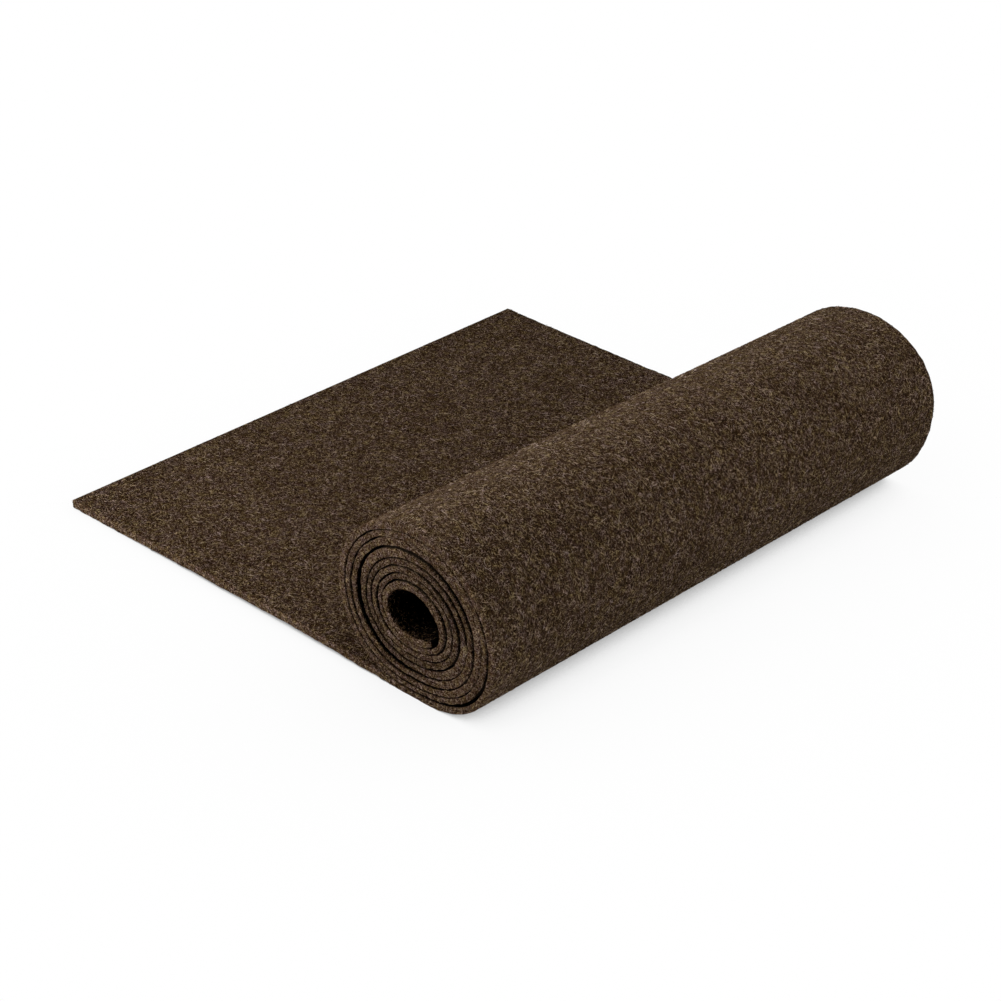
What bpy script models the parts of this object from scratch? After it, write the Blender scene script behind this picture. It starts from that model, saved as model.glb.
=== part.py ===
"""Roll of thick wool felt, partly unrolled.

One cut length of felt is wound into a loose spiral roll and its outer end runs out flat on the ground.
Metres, +Z up. The roll's axis runs along Y, the run-out leads to -X, and Z = 0 is the ground.
"""
import math
from collections import namedtuple

import bpy

MM = 0.001

# The cut length of felt
FELT_WIDTH = 300 * MM
RUN_OUT_THICKNESS = 4.1 * MM
RUN_OUT_END_X = -142 * MM
# The run-out is squeezed thinner along this length next to the roll, as far as the roll's middle
SQUEEZED_LENGTH = 70 * MM

# The roll: its middle, and how much wider than high each turn is pressed
ROLL_X = 95.5 * MM
ROLL_Z = 41.15 * MM
OVAL = 2.0 * MM

# The gap lines of the spiral, as distances in mm from the middle of the roll at its near end.
# Row 0 is the outside of the roll. Each later row is the gap one turn further in, and the
# spiral runs on from the end of a row to the start of the next. The last rows are the hollow.
TURN_ANGLES_DEG = (-90, -45, 0, 45, 90, 135, 180, 225)
TURN_RADII_MM = (
    # bottom, low right, right, top right, top, top left, left, low left
    (43.1, 46.1, 44.8, 44.1, 45.4, 46.0, 45.6, 44.5),
    (39.8, 42.3, 40.8, 39.7, 41.2, 42.3, 41.8, 40.7),
    (36.7, 38.2, 37.1, 36.1, 37.6, 38.7, 38.1, 36.8),
    (33.3, 34.4, 32.3, 32.0, 33.1, 34.5, 33.4, 32.0),
    (29.3, 30.0, 28.3, 27.8, 28.7, 29.2, 28.8, 27.5),
    (25.5, 25.3, 23.8, 23.4, 24.8, 25.8, 25.4, 24.0),
    (21.8, 21.4, 19.7, 19.6, 21.5, 22.2, 21.8, 20.5),
    (18.6, 17.9, 15.9, 16.3, 18.0, 19.0, 18.8, 17.1),
    (15.3, 14.5, 11.3, 11.5, 13.7, 14.9, 15.4, 13.7),
    (12.0, 11.8, 11.8, 11.8, 11.8, 11.8, 11.8, 11.8),
)
TURN_STEP_DEG = TURN_ANGLES_DEG[1] - TURN_ANGLES_DEG[0]
FULL_TURN_DEG = 360
BOTTOM_DEG = TURN_ANGLES_DEG[0]
# The inner cut edge of the felt, past the bottom of the eighth turn inward
INNER_END_DEG = BOTTOM_DEG + 8 * FULL_TURN_DEG + 36

# Turns lie this far apart where they nearly touch
CLOSE_GAP = 0.55 * MM
OpenGap = namedtuple("OpenGap", "turn start_deg end_deg extra_mm")
OPEN_GAPS = (
    OpenGap(turn=1, start_deg=-80, end_deg=25, extra_mm=0.4),
    OpenGap(turn=3, start_deg=-20, end_deg=120, extra_mm=0.4),
    OpenGap(turn=3, start_deg=120, end_deg=262, extra_mm=1.9),
    OpenGap(turn=5, start_deg=0, end_deg=110, extra_mm=0.4),
    OpenGap(turn=7, start_deg=20, end_deg=110, extra_mm=0.3),
)

# Height of the run-out's underside above the ground, from its free edge to the roll
RunOutHeight = namedtuple("RunOutHeight", "from_edge_mm near_mm far_mm")
RUN_OUT_HEIGHTS = (
    RunOutHeight(from_edge_mm=0.0, near_mm=0.2, far_mm=0.4),
    RunOutHeight(from_edge_mm=35.0, near_mm=0.4, far_mm=0.1),
    RunOutHeight(from_edge_mm=75.0, near_mm=1.2, far_mm=0.0),
    RunOutHeight(from_edge_mm=115.0, near_mm=1.6, far_mm=0.2),
    RunOutHeight(from_edge_mm=155.0, near_mm=2.2, far_mm=0.5),
    RunOutHeight(from_edge_mm=182.0, near_mm=1.9, far_mm=0.8),
    RunOutHeight(from_edge_mm=205.0, near_mm=1.0, far_mm=0.6),
    RunOutHeight(from_edge_mm=226.0, near_mm=0.0, far_mm=0.0),
    RunOutHeight(from_edge_mm=237.5, near_mm=0.0, far_mm=0.0),
)

# The far end is wound tighter, stands a little to the side and is higher than it is wide.
# The waves are shares of the radius that come and go two and three times round the end.
FAR_END_SCALE = 0.95
FAR_END_SHIFT = 4.8 * MM
FAR_END_RISE = 0.82 * MM
FAR_WAVE_COS_2 = -0.038
FAR_WAVE_COS_3 = -0.009
FAR_WAVE_SIN_3 = 0.035
# The weight of the roll presses all that would lie lower than this flat on the ground
PRESSED_HEIGHT = 0.2 * MM

# Sections of the mesh
RUN_OUT_STEPS = 14
TURN_MESH_STEP_DEG = 9
WIDTH_STEPS = 6

FELT_COLOUR = (0.046, 0.031, 0.019, 1.0)
FELT_ROUGHNESS = 0.95


def through_points(values, position):
    """Smooth curve through evenly spaced values; position counts in steps from the first."""
    last = len(values) - 1
    position = min(max(position, 0.0), last - 1e-9)
    k = int(position)
    t = position - k
    before = values[max(k - 1, 0)]
    start = values[k]
    end = values[k + 1]
    after = values[min(k + 2, last)]
    bend = 2 * before - 5 * start + 4 * end - after
    twist = 3 * (start - end) + after - before
    return start + 0.5 * t * (end - before + t * (bend + t * twist))


def smooth_step(t):
    t = min(max(t, 0.0), 1.0)
    return t * t * (3 - 2 * t)


SPIRAL_RADII = [radius * MM for turn in TURN_RADII_MM for radius in turn]


def gap_radius(winding_deg):
    """Distance of the spiral gap line from the middle of the roll."""
    return through_points(SPIRAL_RADII, (winding_deg - BOTTOM_DEG) / TURN_STEP_DEG)


def gap_width(winding_deg):
    """Width of the gap there, none on the outside of the roll."""
    first_gap_deg = BOTTOM_DEG + FULL_TURN_DEG
    width = CLOSE_GAP * smooth_step((winding_deg - first_gap_deg) / TURN_STEP_DEG + 1)
    for gap in OPEN_GAPS:
        start = gap.start_deg + gap.turn * FULL_TURN_DEG
        end = gap.end_deg + gap.turn * FULL_TURN_DEG
        if start < winding_deg < end:
            width += gap.extra_mm * MM * math.sin(math.pi * (winding_deg - start) / (end - start)) ** 2
    return width


def run_out_height(x, across):
    """Underside of the run-out; across is 0 at the near edge and 1 at the far edge."""
    rows = RUN_OUT_HEIGHTS
    along = (x - RUN_OUT_END_X) / MM
    for row, following in zip(rows, rows[1:]):
        if along <= following.from_edge_mm or following is rows[-1]:
            t = smooth_step((along - row.from_edge_mm) / (following.from_edge_mm - row.from_edge_mm))
            near = row.near_mm + t * (following.near_mm - row.near_mm)
            far = row.far_mm + t * (following.far_mm - row.far_mm)
            return (near + across * (far - near)) * MM


def run_out_thickness(x):
    """Thickness of the run-out, which the roll's weight squeezes towards the roll's middle."""
    under_roll_deg = BOTTOM_DEG + FULL_TURN_DEG
    squeezed = gap_radius(BOTTOM_DEG) - gap_radius(under_roll_deg) - gap_width(under_roll_deg) / 2
    t = smooth_step(1 - (ROLL_X - x) / SQUEEZED_LENGTH)
    return RUN_OUT_THICKNESS + t * (squeezed - RUN_OUT_THICKNESS)


def far_end_radius(radius, angle):
    """What a radius at the near end comes to at the far end."""
    waves = FAR_WAVE_COS_2 * math.cos(2 * angle) + FAR_WAVE_COS_3 * math.cos(3 * angle)
    waves += FAR_WAVE_SIN_3 * math.sin(3 * angle)
    return radius * FAR_END_SCALE * (1 + waves)


def spiral_point(radius, winding_deg, across):
    """A point of the section at this radius, with the far end's tighter winding."""
    angle = math.radians(winding_deg)
    radius += across * (far_end_radius(radius, angle) - radius)
    x = ROLL_X + across * FAR_END_SHIFT + (radius + OVAL) * math.cos(angle)
    z = ROLL_Z + across * FAR_END_RISE + (radius - OVAL) * math.sin(angle)
    return x, z


def spiral_section(winding_deg, across):
    """Middle of the felt and its thickness at one place of the winding."""
    outer = gap_radius(winding_deg) - gap_width(winding_deg) / 2
    following_deg = winding_deg + FULL_TURN_DEG
    inner = gap_radius(following_deg) + gap_width(following_deg) / 2
    outer_x, outer_z = spiral_point(outer, winding_deg, across)
    inner_x, inner_z = spiral_point(inner, winding_deg, across)
    turns_in = (winding_deg - BOTTOM_DEG) / FULL_TURN_DEG
    lowest = 0.0
    if 0.5 < turns_in < 1:
        # The first turn comes down onto the run-out here
        lowest = run_out_height(outer_x, across) + run_out_thickness(outer_x) + CLOSE_GAP
    outer_z = max(outer_z, lowest)
    thickness = math.hypot(outer_x - inner_x, outer_z - inner_z)
    return (outer_x + inner_x) / 2, (outer_z + inner_z) / 2, thickness


def run_out_section(step, across):
    """The same for the run-out, a number of mesh steps from its free edge."""
    roll_x = ROLL_X + across * FAR_END_SHIFT
    x = RUN_OUT_END_X + step / RUN_OUT_STEPS * (roll_x - RUN_OUT_END_X)
    thickness = run_out_thickness(x - across * FAR_END_SHIFT)
    return x, run_out_height(x, across) + thickness / 2, thickness


def felt_section(step, across):
    """Middle of the felt and its thickness, a number of mesh steps from its free edge."""
    if step < RUN_OUT_STEPS:
        return run_out_section(step, across)
    return spiral_section(BOTTOM_DEG + (step - RUN_OUT_STEPS) * TURN_MESH_STEP_DEG, across)


def make_felt_material():
    material = bpy.data.materials.new("brown_wool_felt")
    material.use_nodes = True
    shader = material.node_tree.nodes["Principled BSDF"]
    shader.inputs["Base Color"].default_value = FELT_COLOUR
    shader.inputs["Roughness"].default_value = FELT_ROUGHNESS
    shader.inputs["Metallic"].default_value = 0.0
    material.diffuse_color = FELT_COLOUR
    return material


def make_felt(collection):
    """Wind a flat grid along the spiral, then give it the felt's thickness."""
    turn_steps = round((INNER_END_DEG - BOTTOM_DEG) / TURN_MESH_STEP_DEG)
    length_steps = RUN_OUT_STEPS + turn_steps
    bpy.ops.mesh.primitive_grid_add(x_subdivisions=length_steps, y_subdivisions=WIDTH_STEPS, size=1)
    felt = bpy.context.active_object
    felt.name = "felt"
    felt.data.name = "felt"

    sections = []
    for vertex in felt.data.vertices:
        step = round((vertex.co.x + 0.5) * length_steps)
        across = vertex.co.y + 0.5
        x, z, thickness = felt_section(step, across)
        vertex.co = (x, (across - 0.5) * FELT_WIDTH, z)
        sections.append(thickness)

    thickest = max(sections)
    weights = felt.vertex_groups.new(name="thickness")
    for index, thickness in enumerate(sections):
        weights.add([index], thickness / thickest, "REPLACE")
    solidify = felt.modifiers.new("felt thickness", "SOLIDIFY")
    solidify.thickness = thickest
    solidify.offset = 0
    solidify.vertex_group = weights.name
    bpy.ops.object.modifier_apply(modifier=solidify.name)

    for vertex in felt.data.vertices:
        if vertex.co.z < PRESSED_HEIGHT:
            vertex.co.z = 0.0
    felt.data.materials.append(make_felt_material())
    for other in list(felt.users_collection):
        other.objects.unlink(felt)
    collection.objects.link(felt)
    return felt


def build():
    for item in list(bpy.data.objects):
        bpy.data.objects.remove(item, do_unlink=True)
    collection = bpy.data.collections.new("felt_roll")
    bpy.context.scene.collection.children.link(collection)
    make_felt(collection)


build()
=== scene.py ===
# %% [markdown]
# A roll of thick brown wool felt, partly unrolled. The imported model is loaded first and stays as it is:
# every piece below is made in its frame, in metres, with the roll's axis along Y and the ground at Z = 0.

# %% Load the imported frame
import math

import bpy
import numpy as np
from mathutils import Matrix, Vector


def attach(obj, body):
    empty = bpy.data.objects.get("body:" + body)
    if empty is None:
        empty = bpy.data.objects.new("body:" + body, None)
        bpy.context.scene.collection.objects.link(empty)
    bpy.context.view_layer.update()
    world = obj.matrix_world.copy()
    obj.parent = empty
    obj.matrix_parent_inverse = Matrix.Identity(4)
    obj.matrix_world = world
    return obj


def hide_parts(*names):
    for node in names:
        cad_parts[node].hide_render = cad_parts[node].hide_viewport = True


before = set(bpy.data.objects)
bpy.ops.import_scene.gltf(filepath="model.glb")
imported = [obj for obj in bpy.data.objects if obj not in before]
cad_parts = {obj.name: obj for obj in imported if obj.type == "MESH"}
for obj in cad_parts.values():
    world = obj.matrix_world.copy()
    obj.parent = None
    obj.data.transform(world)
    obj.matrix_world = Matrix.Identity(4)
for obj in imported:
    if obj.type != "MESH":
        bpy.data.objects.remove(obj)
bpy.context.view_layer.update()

MM = 0.001


# %% [markdown]
# The camera stands to the right of the roll's near end and looks down on it. Its place and its long lens
# come from the felt's straight edges and the two ends of the roll, which only line up from one place.

# %% The camera
CAMERA_PLACE = (804.4 * MM, -824.0 * MM, 652.7 * MM)
CAMERA_AZIMUTH_DEG = 44.343
CAMERA_DOWN_DEG = 29.547
CAMERA_LENS_MM = 98.1

camera_data = bpy.data.cameras.new("studio_camera")
camera_data.lens = CAMERA_LENS_MM
camera_data.sensor_width = 36
camera = bpy.data.objects.new("studio_camera", camera_data)
bpy.context.scene.collection.objects.link(camera)
camera.location = CAMERA_PLACE
camera.rotation_euler = (math.radians(90 - CAMERA_DOWN_DEG), 0, math.radians(CAMERA_AZIMUTH_DEG))
bpy.context.scene.camera = camera
print("camera", [round(c, 3) for c in camera.location], "lens", camera_data.lens)


# %% [markdown]
# Every look below is a small tree of nodes. A few helpers add a node, fill one of its inputs with a number,
# a colour or another node's output, do a sum, mix two colours, or turn a value into a colour by a ramp.

# %% Helpers for node trees
def add_node(tree, kind, **settings):
    node = tree.nodes.new(kind)
    for key, value in settings.items():
        setattr(node, key, value)
    return node


def plug(tree, socket, value):
    """Give an input a number, a colour or another node's output."""
    if isinstance(value, (int, float, tuple)):
        socket.default_value = value
    else:
        tree.links.new(value, socket)


def math_node(tree, operation, first, second):
    node = add_node(tree, "ShaderNodeMath", operation=operation)
    plug(tree, node.inputs[0], first)
    plug(tree, node.inputs[1], second)
    return node.outputs[0]


def mix_colours(tree, mask, below, above, blend="MIX"):
    node = add_node(tree, "ShaderNodeMix", data_type="RGBA", blend_type=blend)
    plug(tree, node.inputs[0], mask)
    plug(tree, node.inputs[6], below)
    plug(tree, node.inputs[7], above)
    return node.outputs[2]


def colour_ramp(tree, value, colours):
    """A ramp through pairs of a position and a colour."""
    ramp = add_node(tree, "ShaderNodeValToRGB")
    stops = ramp.color_ramp.elements
    while len(stops) < len(colours):
        stops.new(0.5)
    for stop, (position, colour) in zip(stops, colours):
        stop.position = position
        stop.color = colour
    plug(tree, ramp.inputs["Fac"], value)
    return ramp.outputs["Color"]


print("helpers for node trees are ready")

# %% [markdown]
# The studio is a wide white floor, so bright that only the shade close to the felt stays grey. The camera
# sees it as glowing paper: an Ambient Occlusion node measures how much open sky each place has, and a ramp
# turns that into white or grey. For all other rays it is plain paper, which lights the roll's underside.

# %% The floor
FLOOR_SIZE = 24.0

bpy.ops.object.select_all(action="DESELECT")
bpy.ops.mesh.primitive_plane_add(size=FLOOR_SIZE, location=(0, 0, 0))
floor = bpy.context.active_object
floor.name = "studio_floor"
print("floor", FLOOR_SIZE, "m wide")

# %% The floor's white paper
FLOOR_WHITE = (0.92, 0.92, 0.92, 1)
SHADE_REACH = 0.25
OPENEST_WAY = (0.18, 0.0, 0.98)
SHADE_OF_OPEN_SKY = (
    # share of open sky, brightness of the floor
    (0.0, 0.12),
    (0.16, 0.30),
    (0.24, 0.50),
    (0.32, 0.75),
    (0.42, 0.88),
    (0.62, 0.96),
    (0.85, 0.985),
    (1.0, 1.0),
)

floor_material = bpy.data.materials.new("studio_floor_white")
floor_material.use_nodes = True
floor_tree = floor_material.node_tree
floor_tree.nodes.remove(floor_tree.nodes["Principled BSDF"])
paper = add_node(floor_tree, "ShaderNodeBsdfDiffuse")
plug(floor_tree, paper.inputs["Color"], FLOOR_WHITE)
openest = add_node(floor_tree, "ShaderNodeCombineXYZ")
for socket, part in zip(openest.inputs, OPENEST_WAY):
    plug(floor_tree, socket, part)
open_sky = add_node(floor_tree, "ShaderNodeAmbientOcclusion")
plug(floor_tree, open_sky.inputs["Distance"], SHADE_REACH)
plug(floor_tree, open_sky.inputs["Normal"], openest.outputs[0])
greys = [(share_open, (bright, bright, bright, 1)) for share_open, bright in SHADE_OF_OPEN_SKY]
glow = add_node(floor_tree, "ShaderNodeEmission")
plug(floor_tree, glow.inputs["Color"], colour_ramp(floor_tree, open_sky.outputs["AO"], greys))
seen = add_node(floor_tree, "ShaderNodeLightPath")
either = add_node(floor_tree, "ShaderNodeMixShader")
plug(floor_tree, either.inputs[0], seen.outputs["Is Camera Ray"])
plug(floor_tree, either.inputs[1], paper.outputs[0])
plug(floor_tree, either.inputs[2], glow.outputs[0])
plug(floor_tree, floor_tree.nodes["Material Output"].inputs["Surface"], either.outputs[0])
floor.data.materials.append(floor_material)
print("shade reaches", SHADE_REACH, "m from the felt")

# %% [markdown]
# The sky around it gives a weak, even light, so no side of the felt is lost in the dark. The camera alone
# sees it as pure white, like the paper behind a product.

# %% The sky
SKY_LIGHT = 0.24

sky = bpy.data.worlds.new("studio_sky")
sky.use_nodes = True
sky_tree = sky.node_tree
sky_light = sky_tree.nodes["Background"]
plug(sky_tree, sky_light.inputs["Color"], (1, 1, 1, 1))
sky_rays = add_node(sky_tree, "ShaderNodeLightPath")
sky_strength = math_node(sky_tree, "MAXIMUM", sky_rays.outputs["Is Camera Ray"], SKY_LIGHT)
plug(sky_tree, sky_light.inputs["Strength"], sky_strength)
bpy.context.scene.world = sky
bpy.context.scene.view_settings.view_transform = "Standard"
print("sky light", SKY_LIGHT)

# %% [markdown]
# Four soft lamps stand around the roll. The strongest is low on the left and lights the cut end, two from
# above model the roll's top, and a weak one behind on the right keeps its shaded side readable.

# %% The soft lamps
LAMP_SIZE = 0.4
LAMP_AIM = (0, 0, 0.03)
LAMPS = (
    # name, place in metres, watts
    ("lamp_low_left", (-0.363, -0.628, 0.338), 6.5),
    ("lamp_high_left", (-0.325, -0.463, 0.566), 2.1),
    ("lamp_overhead", (0.274, 0.0, 0.752), 1.7),
    ("lamp_back_right", (0.628, 0.363, 0.338), 1.4),
)


def add_soft_lamp(name, place, watts):
    """A square lamp turned to face the felt."""
    data = bpy.data.lights.new(name, "AREA")
    data.shape = "SQUARE"
    data.size = LAMP_SIZE
    data.energy = watts
    lamp = bpy.data.objects.new(name, data)
    bpy.context.scene.collection.objects.link(lamp)
    lamp.location = place
    lamp.rotation_euler = (Vector(LAMP_AIM) - Vector(place)).to_track_quat("-Z", "Y").to_euler()
    lamp.visible_camera = False


for name, place, watts in LAMPS:
    add_soft_lamp(name, place, watts)
print("lamps", [name for name, place, watts in LAMPS])


# %% [markdown]
# Wool felt has no weave: it is a mat of curly fibres, dark, brown and pale. A group draws one layer of
# short streaks that all lie roughly one way, by stretching a noise. Several layers turned against each
# other give the tangle, and the same streaks raise the surface a little.

# %% Helpers for shader groups
NOISE_LOW = 0.3
NOISE_HIGH = 0.7


def add_socket(group, name, kind, way, value=None):
    socket = group.interface.new_socket(name=name, in_out=way, socket_type=kind)
    if value is not None:
        socket.default_value = value
    return socket


def noise_between(tree, vector, scale, detail, low, high):
    """A noise spread out to run from low to high."""
    noise = add_node(tree, "ShaderNodeTexNoise", noise_dimensions="3D")
    plug(tree, noise.inputs["Vector"], vector)
    plug(tree, noise.inputs["Scale"], scale)
    plug(tree, noise.inputs["Detail"], detail)
    ramp = add_node(tree, "ShaderNodeMapRange")
    plug(tree, ramp.inputs["Value"], noise.outputs[0])
    plug(tree, ramp.inputs["From Min"], NOISE_LOW)
    plug(tree, ramp.inputs["From Max"], NOISE_HIGH)
    plug(tree, ramp.inputs["To Min"], low)
    plug(tree, ramp.inputs["To Max"], high)
    return ramp.outputs["Result"]


print("a noise runs from", NOISE_LOW, "to", NOISE_HIGH)

# %% [markdown]
# Undyed brown wool is never one brown. Some locks are golden and some are grey, so an overlay draws every
# colour a little towards one or the other, in patches no wider than a few fibres.

# %% Golden and grey wool in the mix
GOLDEN_DYE = (0.50, 0.50, 0.37, 1)
GREY_DYE = (0.50, 0.487, 0.62, 1)
DYE_PATCHES = 320.0


def dyed(tree, vector, scale, colour):
    """The colour drawn a little towards gold in some places and towards grey in others."""
    dye = mix_colours(tree, noise_between(tree, vector, scale, 1.0, 0.0, 1.0), GOLDEN_DYE, GREY_DYE)
    return mix_colours(tree, 1.0, colour, dye, "OVERLAY")


print("golden", GOLDEN_DYE[:3], "grey", GREY_DYE[:3])

# %% [markdown]
# In one layer of streaks the place is first pushed about by a noise, which curls the fibres, then turned,
# and squeezed across the fibres. A second noise, cut off at a height, leaves the streaks.

# %% A layer of streaks
CURL_SCALE = 260.0
CURL_REACH = 2.6 * MM
STREAK_EDGE = 0.07
STREAK_DETAIL = 2.0
STREAK_ROUGHNESS = 0.65
NOTHING_COVERED_AT = 0.72
LOWER_WHEN_COVERED = 0.35


def make_streaks_group():
    """Short curved streaks: 1 on a fibre and 0 between."""
    group = bpy.data.node_groups.new("wool streaks", "ShaderNodeTree")
    add_socket(group, "Vector", "NodeSocketVector", "INPUT")
    add_socket(group, "Turn", "NodeSocketFloat", "INPUT", 0.0)
    add_socket(group, "Streaks per metre", "NodeSocketFloat", "INPUT", 1600.0)
    add_socket(group, "Slenderness", "NodeSocketFloat", "INPUT", 6.0)
    add_socket(group, "Share covered", "NodeSocketFloat", "INPUT", 0.4)
    add_socket(group, "Streaks", "NodeSocketFloat", "OUTPUT")
    links = group.links
    source = add_node(group, "NodeGroupInput")
    result = add_node(group, "NodeGroupOutput")

    curl = add_node(group, "ShaderNodeTexNoise", noise_dimensions="3D")
    plug(group, curl.inputs["Scale"], CURL_SCALE)
    plug(group, curl.inputs["Detail"], 1.0)
    links.new(source.outputs["Vector"], curl.inputs["Vector"])
    centred = add_node(group, "ShaderNodeVectorMath", operation="SUBTRACT")
    centred.inputs[1].default_value = (0.5, 0.5, 0.5)
    links.new(curl.outputs["Color"], centred.inputs[0])
    curled = add_node(group, "ShaderNodeVectorMath", operation="MULTIPLY_ADD")
    curled.inputs[1].default_value = (CURL_REACH, CURL_REACH, CURL_REACH)
    links.new(centred.outputs[0], curled.inputs[0])
    links.new(source.outputs["Vector"], curled.inputs[2])

    turned = add_node(group, "ShaderNodeVectorRotate", rotation_type="Z_AXIS")
    links.new(curled.outputs[0], turned.inputs["Vector"])
    links.new(source.outputs["Turn"], turned.inputs["Angle"])
    slender = math_node(group, "DIVIDE", source.outputs["Streaks per metre"], source.outputs["Slenderness"])
    stretch = add_node(group, "ShaderNodeCombineXYZ")
    links.new(slender, stretch.inputs["X"])
    links.new(source.outputs["Streaks per metre"], stretch.inputs["Y"])
    links.new(source.outputs["Streaks per metre"], stretch.inputs["Z"])
    stretched = add_node(group, "ShaderNodeVectorMath", operation="MULTIPLY")
    links.new(turned.outputs[0], stretched.inputs[0])
    links.new(stretch.outputs[0], stretched.inputs[1])

    noise = add_node(group, "ShaderNodeTexNoise", noise_dimensions="3D")
    plug(group, noise.inputs["Scale"], 1.0)
    plug(group, noise.inputs["Detail"], STREAK_DETAIL)
    plug(group, noise.inputs["Roughness"], STREAK_ROUGHNESS)
    links.new(stretched.outputs[0], noise.inputs["Vector"])
    lower = math_node(group, "MULTIPLY", source.outputs["Share covered"], LOWER_WHEN_COVERED)
    start = math_node(group, "SUBTRACT", NOTHING_COVERED_AT, lower)
    ramp = add_node(group, "ShaderNodeMapRange", interpolation_type="SMOOTHSTEP")
    links.new(noise.outputs[0], ramp.inputs["Value"])
    links.new(start, ramp.inputs["From Min"])
    links.new(math_node(group, "ADD", start, STREAK_EDGE), ramp.inputs["From Max"])
    links.new(ramp.outputs["Result"], result.inputs["Streaks"])
    return group


streaks_group = make_streaks_group()
print("streaks group has", len(streaks_group.nodes), "nodes")

# %% [markdown]
# The heather lays brown streaks over the dark wool and pale streaks over both. It puts out the colour, and
# a height in which the pale fibres lie on top.

# %% The heather of the wool
BROWN_SHARE = 0.485
BROWN_HEIGHT = 0.5
PATCHES_PER_METRE = 75.0
PATCH_DETAIL = 3.0
PATCH_LEAST = 0.92
PATCH_MOST = 1.08
BROWN_LAYERS = (
    # turn in degrees, streaks per metre, slenderness
    (20, 2000, 2.2),
    (85, 2200, 2.8),
    (150, 1900, 2.2),
)
LIGHT_LAYERS = (
    (5, 2200, 4.8),
    (50, 2000, 5.5),
    (110, 2300, 4.8),
    (165, 2100, 5.5),
)


def make_heather_group():
    """Colour of the mixed wool and the height of its fibres."""
    group = bpy.data.node_groups.new("heathered wool", "ShaderNodeTree")
    add_socket(group, "Vector", "NodeSocketVector", "INPUT")
    add_socket(group, "Body", "NodeSocketVector", "INPUT")
    add_socket(group, "Fineness", "NodeSocketFloat", "INPUT", 1.0)
    add_socket(group, "Dark wool", "NodeSocketColor", "INPUT")
    add_socket(group, "Brown wool", "NodeSocketColor", "INPUT")
    add_socket(group, "Light wool", "NodeSocketColor", "INPUT")
    add_socket(group, "Light share", "NodeSocketFloat", "INPUT", 0.4)
    add_socket(group, "Color", "NodeSocketColor", "OUTPUT")
    add_socket(group, "Height", "NodeSocketFloat", "OUTPUT")
    links = group.links
    source = add_node(group, "NodeGroupInput")
    result = add_node(group, "NodeGroupOutput")

    def layered(layers, share):
        """The strongest of several layers of streaks at each place."""
        total = None
        for turn_deg, per_metre, slenderness in layers:
            node = add_node(group, "ShaderNodeGroup", node_tree=streaks_group)
            links.new(source.outputs["Vector"], node.inputs["Vector"])
            plug(group, node.inputs["Turn"], math.radians(turn_deg))
            fine = math_node(group, "MULTIPLY", source.outputs["Fineness"], float(per_metre))
            plug(group, node.inputs["Streaks per metre"], fine)
            plug(group, node.inputs["Slenderness"], slenderness)
            plug(group, node.inputs["Share covered"], share)
            streaks = node.outputs["Streaks"]
            total = streaks if total is None else math_node(group, "MAXIMUM", total, streaks)
        return total

    body = source.outputs["Body"]
    patches = noise_between(group, body, PATCHES_PER_METRE, PATCH_DETAIL, PATCH_LEAST, PATCH_MOST)
    light_share = math_node(group, "MULTIPLY", source.outputs["Light share"], patches)
    brown = layered(BROWN_LAYERS, BROWN_SHARE)
    light = layered(LIGHT_LAYERS, light_share)
    shade = mix_colours(group, brown, source.outputs["Dark wool"], source.outputs["Brown wool"])
    mixed = mix_colours(group, light, shade, source.outputs["Light wool"])
    links.new(dyed(group, body, DYE_PATCHES, mixed), result.inputs["Color"])
    height = math_node(group, "ADD", math_node(group, "MULTIPLY", brown, BROWN_HEIGHT), light)
    links.new(height, result.inputs["Height"])
    return group


heather_group = make_heather_group()
print("heather group has", len(heather_group.nodes), "nodes")


# %% [markdown]
# The felt's skins and its cut edge are the same wool. Both skins are raised and hairy, and they read the map
# along and across the strip, so their fibres lie in the cloth and go round the roll with it. The skin that
# shows on the roll is rougher than the one on the run-out, and painted light makes its colour paler.
# The cut shows fibre ends, so it is greyer and finer, and reads places in the room. Painted shade darkens
# the colour of what lies deep between the turns.

# %% How wool takes the light
WOOL_ROUGHNESS = 0.95
WOOL_SPECULAR = 0.01
SHEEN_ROUGHNESS = 0.5
SHEEN_TINT = (1.0, 0.72, 0.46, 1)


def start_wool_material(name, sheen):
    material = bpy.data.materials.new(name)
    material.use_nodes = True
    shader = material.node_tree.nodes["Principled BSDF"]
    shader.inputs["Roughness"].default_value = WOOL_ROUGHNESS
    shader.inputs["Specular IOR Level"].default_value = WOOL_SPECULAR
    shader.inputs["Sheen Weight"].default_value = sheen
    shader.inputs["Sheen Roughness"].default_value = SHEEN_ROUGHNESS
    shader.inputs["Sheen Tint"].default_value = SHEEN_TINT
    return material


print("wool roughness", WOOL_ROUGHNESS)

# %% The felt's three finishes
INSIDE_SHEEN = 0.0
OUTSIDE_SHEEN = 0.05
# Painted shade: how far the colour deep between the turns and in the hollow is drawn towards black.
PAINTED_SHADE_STRENGTH = 0.98


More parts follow.
